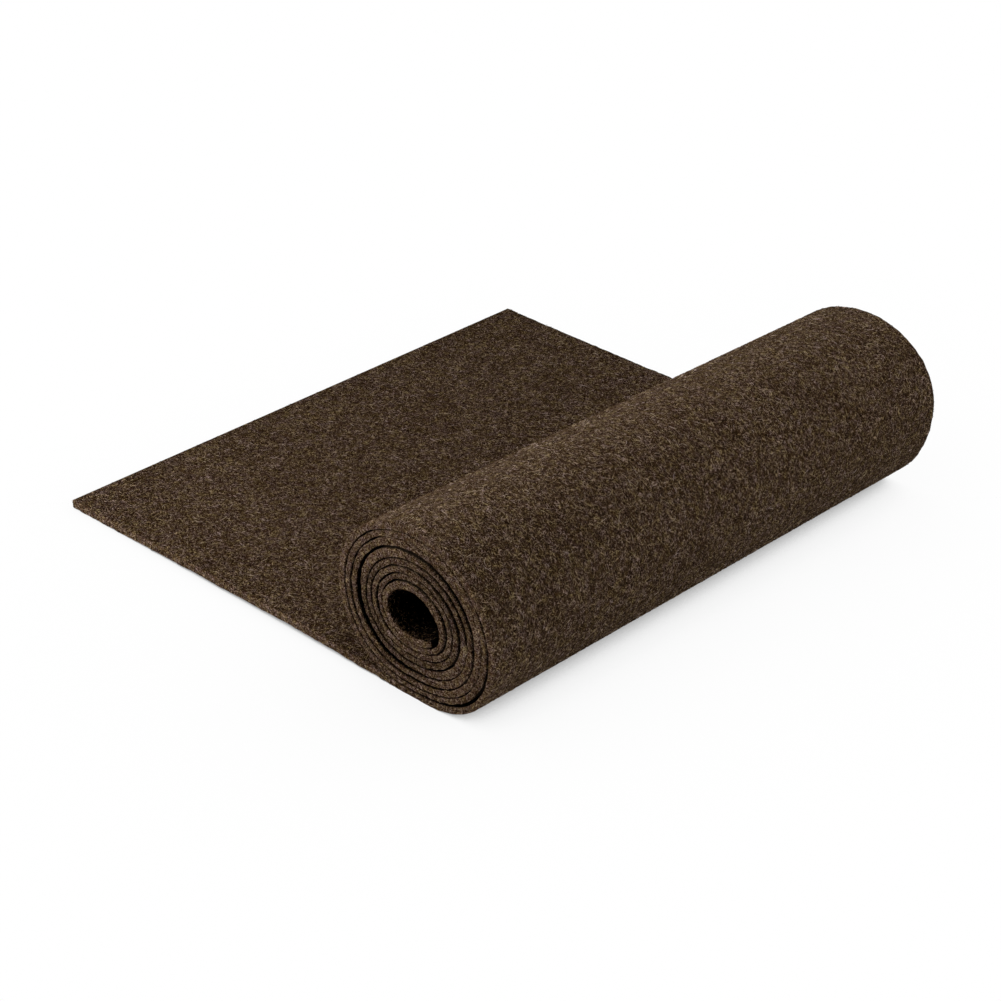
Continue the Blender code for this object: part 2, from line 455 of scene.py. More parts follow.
def make_felt_material(name, coordinate, fineness, wools, light_share, relief, sheen=INSIDE_SHEEN):
    """Felt from dark, brown and light wool, drawn on the piece's map or on places in the room."""
    material = start_wool_material(name, sheen)
    tree = material.node_tree
    shader = tree.nodes["Principled BSDF"]
    place = add_node(tree, "ShaderNodeTexCoord")
    vector = place.outputs[coordinate]
    if coordinate == "Object":
        upright = add_node(tree, "ShaderNodeMapping")
        upright.inputs["Rotation"].default_value = (math.radians(90), 0, 0)
        tree.links.new(vector, upright.inputs["Vector"])
        vector = upright.outputs["Vector"]
    heather = add_node(tree, "ShaderNodeGroup", node_tree=heather_group)
    tree.links.new(vector, heather.inputs["Vector"])
    tree.links.new(place.outputs["Object"], heather.inputs["Body"])
    heather.inputs["Fineness"].default_value = fineness
    heather.inputs["Light share"].default_value = light_share
    for socket, wool in zip(("Dark wool", "Brown wool", "Light wool"), wools):
        heather.inputs[socket].default_value = wool
    bump = add_node(tree, "ShaderNodeBump")
    bump.inputs["Strength"].default_value = 1.0
    bump.inputs["Distance"].default_value = relief
    tree.links.new(heather.outputs["Height"], bump.inputs["Height"])
    tree.links.new(bump.outputs["Normal"], shader.inputs["Normal"])
    # Painted shade: the colour goes towards black where an attribute marks wool deep between the turns.
    painted_shade = add_node(tree, "ShaderNodeAttribute", attribute_name="painted_shade")
    shade = math_node(tree, "MULTIPLY", painted_shade.outputs["Fac"], PAINTED_SHADE_STRENGTH)
    colour = mix_colours(tree, shade, heather.outputs["Color"], (0.0, 0.0, 0.0, 1))
    tree.links.new(colour, shader.inputs["Base Color"])
    return material


# Linear colours of the dark, the brown and the light wool.
SKIN_WOOLS = ((0.0060, 0.0022, 0.0006), (0.0405, 0.0211, 0.0094), (0.282, 0.202, 0.131))
CUT_WOOLS = ((0.0080, 0.0033, 0.0012), (0.064, 0.0345, 0.0181), (0.27, 0.193, 0.130))
# Painted light: the roll's outer skin and its fibres are drawn this many times paler than the run-out's
# wool.
OUTSIDE_PAINTED_LIGHT = 1.3


def paler(colour, times):
    return tuple(times * part for part in colour) + (1,)


def all_paler(wools, times):
    return [paler(wool, times) for wool in wools]


felted_skin = make_felt_material(
    "felted_wool_skin", "UV", fineness=1.0, wools=all_paler(SKIN_WOOLS, 1),
    light_share=0.335, relief=0.13 * MM
)
felted_outside = make_felt_material(
    "felted_wool_outside", "UV", fineness=0.92, wools=all_paler(SKIN_WOOLS, OUTSIDE_PAINTED_LIGHT),
    light_share=0.343, relief=0.22 * MM, sheen=OUTSIDE_SHEEN
)
cut_wool = make_felt_material(
    "cut_wool_edge", "Object", fineness=1.05, wools=all_paler(CUT_WOOLS, 1),
    light_share=0.355, relief=0.12 * MM
)
print("materials", felted_skin.name, felted_outside.name, cut_wool.name)


# %% [markdown]
# The loose fibres on top are real geometry, so they catch the light and stand against the white floor.
# Each carries its own tint, from nearly black to pale tan, which its material turns into a colour of wool.

# %% The fibres' finish
FIBRE_SHEEN = 0.02
WOOL_TINTS = (
    # tint, linear colour
    (0.0, (0.0055, 0.0020, 0.0005)),
    (0.35, (0.0375, 0.0196, 0.0089)),
    (0.7, (0.134, 0.089, 0.054)),
    (1.0, (0.392, 0.303, 0.216)),
)


def make_fibre_material(name, times, sheen):
    material = start_wool_material(name, sheen)
    tree = material.node_tree
    tint = add_node(tree, "ShaderNodeAttribute", attribute_name="tint")
    wools = [(position, paler(colour, times)) for position, colour in WOOL_TINTS]
    wool = colour_ramp(tree, tint.outputs["Fac"], wools)
    place = add_node(tree, "ShaderNodeTexCoord")
    colour = dyed(tree, place.outputs["Object"], DYE_PATCHES, wool)
    tree.links.new(colour, tree.nodes["Principled BSDF"].inputs["Base Color"])
    return material


fibre_material = make_fibre_material("loose_wool_fibre", 1, FIBRE_SHEEN)
outside_fibre_material = make_fibre_material("loose_wool_fibre_outside", OUTSIDE_PAINTED_LIGHT, OUTSIDE_SHEEN)
print("fibre materials with", len(WOOL_TINTS), "tints")


# %% [markdown]
# The felt is one long strip wound into a loose spiral. Its shape is given by the gap lines between the
# turns: how far each lies from the middle of the roll in eight directions, and how wide it gapes there.
# A table with a row for each turn keeps the roll as uneven as a real one, where a formula would be even.
# The strip winds in from the run-out: it goes once round the bottom, and each full turn ends there again.

# %% The sizes of the strip and the winding
FELT_WIDTH = 300 * MM
RUN_OUT_END_X = -142 * MM
NEAR_CORNER_X = -1.2 * MM
RUN_OUT_THICKNESS = 4.1 * MM
SQUEEZED_LENGTH = 70 * MM
ROLL_X = 95.5 * MM
ROLL_Z = 41.15 * MM
OVAL = 2.0 * MM
# The far end is wound tighter, and its radius swells and shrinks a little round the turn.
FAR_END_SCALE = 0.95
FAR_END_SHIFT = 4.8 * MM
FAR_END_RISE = 0.82 * MM
FAR_WAVE_COS_2 = -0.038
FAR_WAVE_COS_3 = -0.009
FAR_WAVE_SIN_3 = 0.035

BOTTOM_DEG = -90
TURN_STEP_DEG = 45
FULL_TURN_DEG = 360
FULL_TURNS = 8
LAST_BIT_DEG = 36
INNER_END_DEG = BOTTOM_DEG + FULL_TURNS * FULL_TURN_DEG + LAST_BIT_DEG

# Distance of each gap line from the middle of the roll, in mm. The first row is the roll's outside.
TURN_RADII_MM = (
    # bottom, low right, right, top right, top, top left, left, low left
    (43.1, 46.1, 44.8, 44.1, 45.4, 46.0, 45.6, 44.5),
    (39.8, 42.3, 40.8, 39.7, 41.2, 42.3, 41.8, 40.7),
    (36.7, 38.2, 37.1, 36.1, 37.6, 38.7, 38.1, 36.8),
    (33.3, 34.4, 32.3, 32.0, 33.1, 34.5, 33.4, 32.0),
    (29.3, 30.0, 28.3, 27.8, 28.7, 29.2, 28.8, 27.5),
    (25.5, 25.3, 23.8, 23.4, 24.8, 25.8, 25.4, 24.0),
    (21.8, 21.4, 19.7, 19.6, 21.5, 22.2, 21.8, 20.5),
    (18.6, 17.9, 15.9, 16.3, 18.0, 19.0, 18.8, 17.1),
    (15.3, 14.5, 11.3, 11.5, 13.7, 14.9, 15.4, 13.7),
    (12.0, 11.8, 11.8, 11.8, 11.8, 11.8, 11.8, 11.8),
)
# Width of each gap in mm: most turns touch, some gape, and the third stands open on the left.
GAP_WIDTHS_MM = (
    # bottom, low right, right, top right, top, top left, left, low left
    (0.0, 0.0, 0.0, 0.0, 0.0, 0.0, 0.0, 0.0),
    (1.0, 1.8, 1.5, 0.5, 0.5, 0.6, 1.0, 1.1),
    (1.1, 0.5, 0.4, 0.4, 0.5, 0.6, 1.1, 1.1),
    (1.3, 0.6, 1.4, 2.1, 2.0, 1.2, 2.8, 2.7),
    (1.3, 0.6, 1.4, 2.0, 1.3, 0.7, 0.7, 0.9),
    (0.9, 1.1, 1.9, 2.0, 1.3, 0.7, 1.1, 1.0),
    (0.8, 0.7, 0.7, 0.7, 0.8, 0.8, 1.3, 1.2),
    (0.7, 0.8, 1.6, 1.7, 1.6, 1.1, 0.8, 0.8),
    (0.5, 0.5, 0.5, 0.5, 0.5, 0.5, 0.5, 0.5),
    (0.3, 0.3, 0.3, 0.3, 0.3, 0.3, 0.3, 0.3),
)
print("turns", FULL_TURNS)

# %% [markdown]
# The run-out is never quite flat, because the felt remembers the roll. It arches a millimetre or two off
# the ground, more along its near edge than along its far edge.

# %% Height of the run-out above the ground
RUN_OUT_HEIGHTS_MM = {
    "from_edge": (0, 35, 75, 115, 155, 182, 205, 226, 237.5),
    "near": (0.2, 0.4, 1.2, 1.6, 2.2, 1.9, 1.0, 0.0, 0.0),
    "far": (0.4, 0.1, 0.0, 0.2, 0.5, 0.8, 0.6, 0.0, 0.0),
}


def smooth_step(t):
    t = np.clip(t, 0, 1)
    return t * t * (3 - 2 * t)


def through_points(values, position):
    """Smooth curve through evenly spaced values; position counts in steps from the first."""
    values = np.asarray(values, float)
    last = len(values) - 1
    position = np.clip(position, 0, last - 1e-9)
    k = position.astype(int)
    t = position - k
    before = values[np.maximum(k - 1, 0)]
    start = values[k]
    end = values[k + 1]
    after = values[np.minimum(k + 2, last)]
    bend = 2 * before - 5 * start + 4 * end - after
    twist = 3 * (start - end) + after - before
    return start + 0.5 * t * (end - before + t * (bend + t * twist))


def run_out_height(x, side):
    """Underside of the run-out along its near or its far edge."""
    along = (x - RUN_OUT_END_X) / MM
    knots = np.array(RUN_OUT_HEIGHTS_MM["from_edge"])
    heights = np.array(RUN_OUT_HEIGHTS_MM[side])
    k = np.clip(np.searchsorted(knots, along) - 1, 0, len(knots) - 2)
    t = smooth_step((along - knots[k]) / (knots[k + 1] - knots[k]))
    return (heights[k] + t * (heights[k + 1] - heights[k])) * MM


print("run-out lifts up to", max(RUN_OUT_HEIGHTS_MM["near"]), "mm")

# %% [markdown]
# A section through the roll has two lines: the outer skin, which is also the run-out's underside, and the
# inner skin. Each turn fills the space between its own gap line and the next one in. The far end uses the
# same table, made smaller, shifted and pressed a little out of round.

# %% The two skins of the felt, in section
ABOVE_RUN_OUT = 0.15 * MM
RADII = [radius * MM for turn in TURN_RADII_MM for radius in turn]
WIDTHS = [width * MM for turn in GAP_WIDTHS_MM for width in turn]


def gap_radius(winding_deg):
    return through_points(RADII, (winding_deg - BOTTOM_DEG) / TURN_STEP_DEG)


def gap_width(winding_deg):
    wide = through_points(WIDTHS, (winding_deg - BOTTOM_DEG) / TURN_STEP_DEG)
    return np.maximum(wide, 0)


def run_out_thickness(x):
    """The roll's weight squeezes the run-out thinner towards the roll's middle."""
    bottom = np.array([BOTTOM_DEG, BOTTOM_DEG + FULL_TURN_DEG], float)
    outer, inner = gap_radius(bottom)
    squeezed = outer - inner - gap_width(bottom)[1] / 2
    t = smooth_step(1 - (ROLL_X - x) / SQUEEZED_LENGTH)
    return RUN_OUT_THICKNESS + t * (squeezed - RUN_OUT_THICKNESS)


def end_section(side, run_out_at, winding_deg):
    """Under or outer skin and upper or inner skin, as x and z, along one end of the roll."""
    across = 1.0 if side == "far" else 0.0
    middle_x = ROLL_X + across * FAR_END_SHIFT
    middle_z = ROLL_Z + across * FAR_END_RISE
    angle = np.radians(winding_deg)
    waves = FAR_WAVE_COS_2 * np.cos(2 * angle) + FAR_WAVE_COS_3 * np.cos(3 * angle)
    waves += FAR_WAVE_SIN_3 * np.sin(3 * angle)
    shrink = FAR_END_SCALE * (1 + waves) if side == "far" else 1.0

    def wound(radius):
        x = middle_x + (shrink * radius + OVAL) * np.cos(angle)
        z = middle_z + (shrink * radius - OVAL) * np.sin(angle)
        return np.stack([x, z], 1)

    end_x = RUN_OUT_END_X + (1 - across) * NEAR_CORNER_X
    flat_x = end_x + run_out_at * (middle_x - end_x)
    under = run_out_height(flat_x, side)
    flat_outer = np.stack([flat_x, under], 1)
    flat_inner = np.stack([flat_x, under + run_out_thickness(flat_x - across * FAR_END_SHIFT)], 1)

    outer = wound(gap_radius(winding_deg) - gap_width(winding_deg) / 2)
    following = winding_deg + FULL_TURN_DEG
    inner = wound(gap_radius(following) + gap_width(following) / 2)
    turns_in = (winding_deg - BOTTOM_DEG) / FULL_TURN_DEG
    on_run_out = run_out_height(outer[:, 0], side) + run_out_thickness(outer[:, 0]) + ABOVE_RUN_OUT
    lowest = np.where((turns_in > 0.5) & (turns_in < 1), on_run_out, 0)
    outer[:, 1] = np.maximum(outer[:, 1], lowest)
    return np.concatenate([flat_outer, outer]), np.concatenate([flat_inner, inner])


print("felt is", round(float(run_out_thickness(RUN_OUT_END_X)) / MM, 1), "mm thick at its free edge")


# %% [markdown]
# A point on the felt is named by its distance along the strip, its distance across it, and how far it
# stands off the skin. One function turns that into a place in the room, so the cloth, its fibres and the
# fuzz of its edges all follow the same winding.

# %% Sections along the strip
RUN_OUT_STEPS = 190
WINDING_STEP_DEG = 1.5

run_out_at = np.linspace(0, 1, RUN_OUT_STEPS, endpoint=False)
winding_steps = round((INNER_END_DEG - BOTTOM_DEG) / WINDING_STEP_DEG)
winding = BOTTOM_DEG + np.arange(winding_steps + 1) * WINDING_STEP_DEG
near_outer, near_inner = end_section("near", run_out_at, winding)
far_outer, far_inner = end_section("far", run_out_at, winding)
near_middle = (near_outer + near_inner) / 2
steps = np.linalg.norm(np.diff(near_middle, axis=0), axis=1)
strip_at = np.concatenate([[0], np.cumsum(steps)])
FELT_LENGTH = float(strip_at[-1])


def along_at(winding_deg):
    """Distance along the strip where the winding has reached that angle."""
    return float(np.interp(winding_deg, winding, strip_at[RUN_OUT_STEPS:]))


print("felt", round(FELT_LENGTH, 3), "m long in", len(strip_at), "sections")


# %% Soft waves
WAVE_CELLS = 512
FAR_CUT_WAVES = 4.0


def soft_noise(u, v, cell_u, cell_v, seed):
    """Smooth random waves from -1 to 1 over distances u and v, with cells of the given sizes."""
    grid = np.random.default_rng(seed).uniform(-1, 1, (WAVE_CELLS, WAVE_CELLS))
    pu = u / cell_u + WAVE_CELLS / 2
    pv = v / cell_v + WAVE_CELLS / 2
    iu = np.floor(pu).astype(int)
    iv = np.floor(pv).astype(int)
    fu = smooth_step(pu - iu)
    fv = smooth_step(pv - iv)
    left = iu % WAVE_CELLS
    right = (iu + 1) % WAVE_CELLS
    below = iv % WAVE_CELLS
    above = (iv + 1) % WAVE_CELLS
    low = grid[left, below] * (1 - fu) + grid[right, below] * fu
    high = grid[left, above] * (1 - fu) + grid[right, above] * fu
    return low * (1 - fv) + high * fv


def waves_along_cut(along, across, size, cell, seed):
    """Waves of that size and cell length along the strip, others on the far cut than on the near one."""
    which_cut = np.where(across < FELT_WIDTH / 2, 0.0, FAR_CUT_WAVES)
    return size * soft_noise(along, which_cut, cell, 1.0, seed)


print("waves repeat after", WAVE_CELLS, "cells")

# %% A place on the felt
def at_strip(table, along):
    return np.stack([np.interp(along, strip_at, table[:, k]) for k in range(table.shape[1])], -1)


def skin_normals(skin, outward):
    """Unit normals of a section's skin, in x and z."""
    along = np.gradient(skin, axis=0)
    along /= np.linalg.norm(along, axis=1)[:, None]
    return outward * np.stack([along[:, 1], -along[:, 0]], 1)


SKINS = {
    "outer": (near_outer, far_outer, skin_normals(near_outer, 1)),
    "inner": (near_inner, far_inner, skin_normals(near_inner, -1)),
}


EDGE_WANDER = 0.35 * MM
EDGE_NIBBLE = 0.14 * MM
WANDER_CELL = 60 * MM
NIBBLE_CELL = 2.2 * MM
EDGE_REACH = 2.5 * MM
FUZZ_REACH = 0.5 * MM
FUZZ_FROM = 0.25 * MM
GROUND_CLEARANCE = 0.05 * MM


def cut_wander(along, across):
    """How far the nearer cut edge strays, fading a few millimetres into the cloth."""
    stray = waves_along_cut(along, across, EDGE_WANDER, WANDER_CELL, 3)
    stray += waves_along_cut(along, across, EDGE_NIBBLE, NIBBLE_CELL, 5)
    from_cut = np.clip(np.minimum(across, FELT_WIDTH - across), 0, None)
    return stray * np.exp(-from_cut / EDGE_REACH)


def stop_softly(distance, edge):
    """Distances past an edge at the low side bend back and end just beyond it."""
    past = np.minimum(distance - edge, 0)
    return np.where(distance < edge, edge - FUZZ_REACH * (1 - np.exp(past / FUZZ_REACH)), distance)


def on_felt(skin, along, across, lift):
    """Places on a skin of the felt: along the strip, across from the near edge, and off the skin."""
    near, far, normals = SKINS[skin]
    along = stop_softly(along, FUZZ_FROM)
    across = stop_softly(across, FUZZ_FROM)
    across = FELT_WIDTH - stop_softly(FELT_WIDTH - across, FUZZ_FROM)
    share = across[..., None] / FELT_WIDTH
    section = at_strip(near, along) * (1 - share) + at_strip(far, along) * share
    section = section + at_strip(normals, along) * lift[..., None]
    x = section[..., 0] + np.minimum(along, 0)
    y = across - FELT_WIDTH / 2 + cut_wander(along, across)
    z = np.maximum(section[..., 1], GROUND_CLEARANCE)
    return np.stack([x, y, z], -1)


def on_cut(side, along, depth, lift):
    """Places on the near or far cut: along the strip, through it from the outer skin, and off the cut."""
    across = np.full(along.shape, FUZZ_FROM if side == "near" else FELT_WIDTH - FUZZ_FROM)
    outer = on_felt("outer", along, across, np.zeros(along.shape))
    inner = on_felt("inner", along, across, np.zeros(along.shape))
    place = outer * (1 - depth[..., None]) + inner * depth[..., None]
    place[..., 1] += (lift + FUZZ_FROM) * (-1 if side == "near" else 1)
    place[..., 2] = np.maximum(place[..., 2], GROUND_CLEARANCE)
    return place


somewhere = np.array([100 * MM])
print("a point on the run-out", on_felt("inner", somewhere, somewhere, 0 * somewhere).round(4))


# %% [markdown]
# The felt itself starts as a flat grid, as the strip lay before it was wound. Its columns are laid along
# the spiral, its rows crowd towards the two cut edges, and the cut edges wander a little as a blade does
# in soft wool. Solidify then gives it the thickness that each place has, and Bevel takes the sharpness
# off the cuts. A bend modifier would wind it evenly, but the real turns are uneven.

# %% The felt: a grid to wind
ROWS_FROM_EDGE_MM = (0, 1.2, 4, 12, 30, 62, 104)


def read_points(mesh):
    """The places of a mesh's points, one row each."""
    points = np.empty(len(mesh.vertices) * 3)
    mesh.vertices.foreach_get("co", points)
    return points.reshape(-1, 3)


def read_loop_points(mesh):
    """Which point each corner of each face stands on."""
    loop_points = np.empty(len(mesh.loops), int)
    mesh.loops.foreach_get("vertex_index", loop_points)
    return loop_points


rows_near = [row * MM for row in ROWS_FROM_EDGE_MM]
rows = np.array(rows_near + [FELT_WIDTH / 2] + [FELT_WIDTH - row for row in reversed(rows_near)])

bpy.ops.object.select_all(action="DESELECT")
bpy.ops.mesh.primitive_grid_add(
    x_subdivisions=len(strip_at) - 1, y_subdivisions=len(rows) - 1, size=1, calc_uvs=True
)
felt = bpy.context.active_object
felt.name = "rolled_felt"
flat = read_points(felt.data)
column = np.rint((flat[:, 0] + 0.5) * (len(strip_at) - 1)).astype(int)
row = np.rint((flat[:, 1] + 0.5) * (len(rows) - 1)).astype(int)
print("grid of", len(strip_at), "by", len(rows), "points")

# %% [markdown]
# Near the cuts the felt swells and thins a little and its turns sway, as cut wool springs open. So the gap
# lines on the end faces run unevenly, and fade into an even winding a few millimetres inside.

# %% The felt: wound along the spiral
CUT_RAGGED = 0.31 * MM
SHORT_RAGGED_CELL = 2.6 * MM
LONG_RAGGED_CELL = 9 * MM
TURN_SWAY = 0.22 * MM
SWAY_CELL = 2.4 * MM
SWAY_START = 20 * MM
FIRST_GAP_DEG = 270

along = strip_at[column]
across = rows[row]
share = (across / FELT_WIDTH)[:, None]
outer_skin = near_outer[column] * (1 - share) + far_outer[column] * share
inner_skin = near_inner[column] * (1 - share) + far_inner[column] * share
middle = (outer_skin + inner_skin) / 2
thickness = np.linalg.norm(outer_skin - inner_skin, axis=1)

near_cut = np.exp(-np.minimum(across, FELT_WIDTH - across) / EDGE_REACH)
ragged = waves_along_cut(along, across, CUT_RAGGED, SHORT_RAGGED_CELL, 7)
ragged += waves_along_cut(along, across, CUT_RAGGED, LONG_RAGGED_CELL, 8)
thickness = thickness + ragged * near_cut

sway = waves_along_cut(along, across, TURN_SWAY, SWAY_CELL, 9) * near_cut
sway = sway * smooth_step((along - along_at(FIRST_GAP_DEG)) / SWAY_START)
middle = middle + SKINS["outer"][2][column] * sway[:, None]

stray = cut_wander(along, across)
places = np.stack([middle[:, 0], across - FELT_WIDTH / 2 + stray, middle[:, 1]], 1)
felt.data.vertices.foreach_set("co", places.ravel())

thickest = float(thickness.max())
share_of_thickest = thickness / thickest
weights = felt.vertex_groups.new(name="thickness")
for index, weight in enumerate(share_of_thickest):
    weights.add([index], float(weight), "REPLACE")
print("felt is", round(thickness.min() / MM, 1), "to", round(thickest / MM, 1), "mm thick")

# %% [markdown]
# A material can't know which way the cloth was wound. The map tells it: while the sheet is still one layer,
# every corner gets its distance along and across the strip, and Solidify hands that to both skins.

# %% The felt: its map, in metres along and across the strip
loop_points = read_loop_points(felt.data)
felt_map = np.stack([along[loop_points], across[loop_points]], 1)
felt.data.uv_layers.active.data.foreach_set("uv", felt_map.ravel())
felt.data.uv_layers.active.name = "along_and_across"
print("the map reaches", felt_map.max(0).round(3), "m")

# %% The felt: thickness and softened cuts
CUT_ROUNDING = 0.55 * MM
SHARPEST_KEPT_DEG = 60

felt.data.materials.append(felted_skin)
felt.data.materials.append(cut_wool)
felt.data.materials.append(felted_outside)
solidify = felt.modifiers.new("thickness", "SOLIDIFY")
solidify.thickness = thickest
solidify.offset = 0
solidify.vertex_group = weights.name
solidify.material_offset = 2
solidify.material_offset_rim = 1
bevel = felt.modifiers.new("softened cuts", "BEVEL")
bevel.width = CUT_ROUNDING
bevel.segments = 2
bevel.limit_method = "ANGLE"
bevel.angle_limit = math.radians(SHARPEST_KEPT_DEG)
bevel.material = 1
bpy.context.view_layer.objects.active = felt
for modifier in ("thickness", "softened cuts"):
    bpy.ops.object.modifier_apply(modifier=modifier)
bpy.ops.object.shade_smooth()
point = read_points(felt.data)
point[:, 2] = np.maximum(point[:, 2], 0)
felt.data.vertices.foreach_set("co", point.ravel())
print("felt has", len(felt.data.polygons), "faces")

# %% [markdown]
# Hardly any light gets between the turns of a real roll, so shade is painted there as well. The skins there
# are marked with an attribute that starts a millimetre behind the cuts and darkens their colour as painted
# shade, so the gaps read as dark lines from every side.

# %% The felt: painted shade on the wool deep inside the roll
PAINTED_SHADE_DEPTH = 0.9 * MM
PAINTED_SHADE_START = 12 * MM
ROLL_FOOT = 222 * MM
LAST_OPEN_DEG = 262
OPEN_TO = {"outer": along_at(LAST_OPEN_DEG), "inner": ROLL_FOOT}

loop_points = read_loop_points(felt.data)
loop_map = np.empty(len(loop_points) * 2)
felt.data.uv_layers.active.data.foreach_get("uv", loop_map)
point_map = np.zeros((len(felt.data.vertices), 2))
point_map[loop_points] = loop_map.reshape(-1, 2)
point_along = point_map[:, 0]
point_across = point[:, 1] + FELT_WIDTH / 2
off_skin = {
    skin: np.linalg.norm(
        on_felt(skin, point_along, point_across, np.zeros(len(point)))[:, ::2] - point[:, ::2], axis=1
    )
    for skin in SKINS
}
open_to = np.where(off_skin["outer"] < off_skin["inner"], OPEN_TO["outer"], OPEN_TO["inner"])
inside = smooth_step((point_along - open_to) / PAINTED_SHADE_START)
deep = smooth_step(np.minimum(point_across, FELT_WIDTH - point_across) / PAINTED_SHADE_DEPTH)
# Painted shade: none at the cuts and on the open skins, full strength deep between the turns and in the
# hollow.
painted_shade = felt.data.attributes.new("painted_shade", "FLOAT", "POINT")
painted_shade.data.foreach_set("value", inside * deep)
print("sheltered points", int((inside * deep > 0.5).sum()), "of", len(point))


# %% [markdown]
# A fibre is modelled, and all the loose fibres are copies of it, each bent, turned and laid on the
# felt by the same winding as the cloth. The short one is a three-sided cone whose rim is pulled to its
# middle, so both its ends are tips. The long one, for hairs, is a three-sided stick with drawn-out ends and
# two more rings, so it can curl. A real felt has millions of fibres. About a hundred and twenty thousand,
# each as thick as a small lock, give the look.

# %% One fibre
STICK_HALF = 0.22
FIBRE_HALF = 0.5
TIP_RADIUS = 0.5
SAME_PLACE = 0.1


def model_short_fibre(name):
    """A fibre of length 1 along Z and radius 1: one ring of three points, drawn out to two tips."""
    bpy.ops.object.select_all(action="DESELECT")
    bpy.ops.mesh.primitive_cone_add(
        vertices=3, radius1=1, depth=1, end_fill_type="TRIFAN", location=(0, 0, 0)
    )
    model = bpy.context.active_object
    model.name = name
    for vertex in model.data.vertices:
        is_tip = math.hypot(vertex.co.x, vertex.co.y) < TIP_RADIUS
        vertex.co.z = math.copysign(FIBRE_HALF, vertex.co.z) if is_tip else 0
    return model


def model_long_fibre(name, cuts):
    """A fibre of length 1 along Z and radius 1, with that many more rings along its stick."""
    bpy.ops.object.select_all(action="DESELECT")
    bpy.ops.mesh.primitive_cylinder_add(
        vertices=3, radius=1, depth=2 * STICK_HALF, end_fill_type="TRIFAN", location=(0, 0, 0)
    )
    model = bpy.context.active_object
    model.name = name
    for vertex in model.data.vertices:
        is_tip = math.hypot(vertex.co.x, vertex.co.y) < TIP_RADIUS
        vertex.co.z = math.copysign(FIBRE_HALF, vertex.co.z) if is_tip else vertex.co.z
    bpy.ops.object.mode_set(mode="EDIT")
    bpy.ops.mesh.select_all(action="DESELECT")
    bpy.ops.mesh.select_mode(type="EDGE")
    bpy.ops.object.mode_set(mode="OBJECT")
    for edge in model.data.edges:
        ends = [model.data.vertices[k].co for k in edge.vertices]
        upright = abs(ends[0].x - ends[1].x) < SAME_PLACE
        edge.select = upright and abs(ends[0].z - ends[1].z) > STICK_HALF
    bpy.ops.object.mode_set(mode="EDIT")
    bpy.ops.mesh.subdivide(number_cuts=cuts)
    bpy.ops.object.mode_set(mode="OBJECT")
    return model


HAIR_RINGS = 2
fibre_model = model_short_fibre("fibre_model")
hair_model = model_long_fibre("hair_model", HAIR_RINGS)
for model in (fibre_model, hair_model):
    print(model.name, len(model.data.vertices), "points", len(model.data.polygons), "faces")


# %% [markdown]
# To lay the copies, every fibre draws a start, a turn, a length, a thickness, a bend, a rise and a tint.
# Its points are bent first and then handed to the function that knows the place on the felt.

# %% Copies of the fibre
BEND = 0.35
TILT = 0.25
DIP = 5
TINT_SPREAD = 0.07


def lay_fibres(name, model, place, count, starts, lengths, radii, rise, tints, seed, curl=BEND,
               material=fibre_material):
    """Join bent copies of the model, each laid by place(first, second, lift), into one piece."""
    draw = np.random.default_rng(seed)
    form = np.array([vertex.co[:] for vertex in model.data.vertices])
    step = form[None, :, 2]
    first, second = starts(draw, count)
    turn = draw.uniform(0, math.pi, count)
    length = draw.uniform(*lengths, count)
    radius = draw.uniform(*radii, count)
    bend = curl * draw.normal(0, 1, count)
    lift = draw.uniform(*rise, count)
    tilt = draw.normal(0, TILT, count) * lift

    reach = length[:, None] * step
    sideways = bend[:, None] * length[:, None] * (4 * step**2 - 1) * 0.5
    sideways = sideways + radius[:, None] * form[None, :, 0]
    height = lift[:, None] * (1 - DIP * step**2) + tilt[:, None] * step + radius[:, None] * form[None, :, 1]
    cos = np.cos(turn)[:, None]
    sin = np.sin(turn)[:, None]
    points = place(
        first[:, None] + cos * reach - sin * sideways, second[:, None] + sin * reach + cos * sideways, height
    )

    faces = [np.array(face.vertices[:]) for face in model.data.polygons]
    mesh = bpy.data.meshes.new(name)
    jumps = np.arange(count)[:, None] * len(form)
    triangles = [(face[None] + jumps) for face in faces if len(face) == 3]
    quads = [(face[None] + jumps) for face in faces if len(face) == 4]
    all_faces = [row for block in triangles + quads for row in block.tolist()]
    mesh.from_pydata(points.reshape(-1, 3), [], all_faces)
    tint = mesh.attributes.new("tint", "FLOAT", "POINT")
    tint.data.foreach_set("value", np.repeat(np.clip(tints(draw, first, second), 0, 1), len(form)))
    mesh.materials.append(material)
    mesh.polygons.foreach_set("use_smooth", np.ones(len(mesh.polygons), bool))
    piece = bpy.data.objects.new(name, mesh)
    bpy.context.scene.collection.objects.link(piece)
    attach(piece, "root")
    print(name, count, "fibres", sum(len(face) - 2 for face in faces) * count, "triangles")
    return piece


def over(first_range, second_range):
    """Starts spread evenly over two ranges."""
    def starts(draw, count):
        return draw.uniform(*first_range, count), draw.uniform(*second_range, count)
    return starts


def mixed_tints(draw, count, shares, middles):
    """Tints of mixed wool: each kind's share and its middle tint, with a little spread."""
    kinds = draw.choice(len(shares), count, p=shares)
    return np.array(middles)[kinds] + draw.normal(0, TINT_SPREAD, count)


def tints_between(low, high):
    """Any tint between the two."""
    def tints(draw, first, second):
        return draw.uniform(low, high, len(first))
    return tints


print("a fibre bends by about", BEND, "of its length")

# %% [markdown]
# The tangle covers the run-out's upper side and the roll's outer side. Each is laid in two halves, so no
# piece grows too heavy. The wool is mostly brown and dark, with some tan and a few nearly white fibres.

